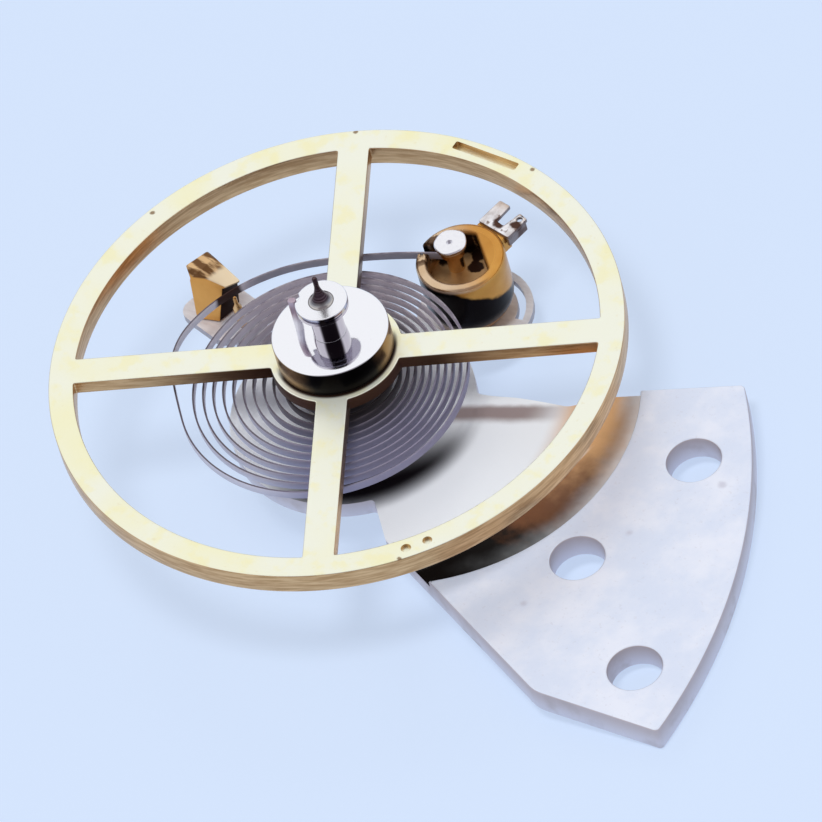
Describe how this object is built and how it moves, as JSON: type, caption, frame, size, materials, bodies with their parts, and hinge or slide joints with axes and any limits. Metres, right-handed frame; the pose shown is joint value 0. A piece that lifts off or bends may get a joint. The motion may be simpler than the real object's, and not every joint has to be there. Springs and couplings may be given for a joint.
{
  "type": "watch balance wheel with cock",
  "caption": "Watch balance wheel on its staff with double roller and flat hairspring, carried by a fan-shaped cock with shock setting, regulator boot and hairspring stud.",
  "frame": {"origin": "where the balance staff's axis meets the flat outer face of the shock block, which is the lowest face", "axes": "+Z along the balance staff towards the rollers, +X from the staff towards the middle of the cock's foot, +Y completing the right-handed set"},
  "size_m": [0.0138, 0.01, 0.0046],
  "materials": {
    "cock_plate": "pale nickel plating, fine matt, with a soft lavender cast",
    "turned_steel": "nickel-plated turning, fine lathe rings",
    "gilt_setting": "gilt, satin",
    "ruby": "polished synthetic ruby",
    "sprung_steel": "bright stamped steel",
    "copper_gold": "polished copper-gold brass",
    "polished_steel": "mirror-polished hardened steel",
    "spring_alloy": "grey-violet drawn spring strip, satin",
    "collet_brass": "satin brass",
    "pale_gold": "smooth pale gold, satin top with polished edges",
    "staff_steel": "hardened and burnished dark steel"
  },
  "bodies": {
    "cock": {"balance_cock": "cock_plate", "shock_block": "turned_steel", "jewel_setting": "gilt_setting", "hole_jewel": "ruby", "cap_jewel": "ruby", "shock_spring": "gilt_setting"},
    "index": {"regulator_index": "sprung_steel", "curb_pin": "copper_gold"},
    "boot": {"regulator_boot": "copper_gold"},
    "stud_arm": {"stud_holder": "sprung_steel", "hairspring_stud": "copper_gold", "stud_pin": "polished_steel", "stud_clip": "sprung_steel", "hairspring": "spring_alloy"},
    "balance": {"balance_wheel": "pale_gold", "balance_staff": "staff_steel", "impulse_roller": "polished_steel", "safety_roller": "polished_steel", "impulse_jewel": "ruby", "collet": "collet_brass"}
  },
  "joints": [
    {"name": "stud_turn", "type": "hinge", "parent": "cock", "child": "stud_arm", "pos_m": [0, 0, 0], "axis": [0, 0, 1], "range_deg": [-5, 5]},
    {"name": "balance_swing", "type": "hinge", "parent": "stud_arm", "child": "balance", "pos_m": [0, 0, 0], "axis": [0, 0, 1], "range_deg": [-300, 300], "stiffness_Nm_per_rad": 0.00000076, "deforming": ["hairspring"]},
    {"name": "index_turn", "type": "hinge", "parent": "cock", "child": "index", "pos_m": [0, 0, 0], "axis": [0, 0, 1], "range_deg": [-10, 10]},
    {"name": "boot_turn", "type": "hinge", "parent": "index", "child": "boot", "pos_m": [-0.00336, 0.00081, 0.00128], "axis": [0, 0, 1], "range_deg": [-6, 6]}
  ]
}
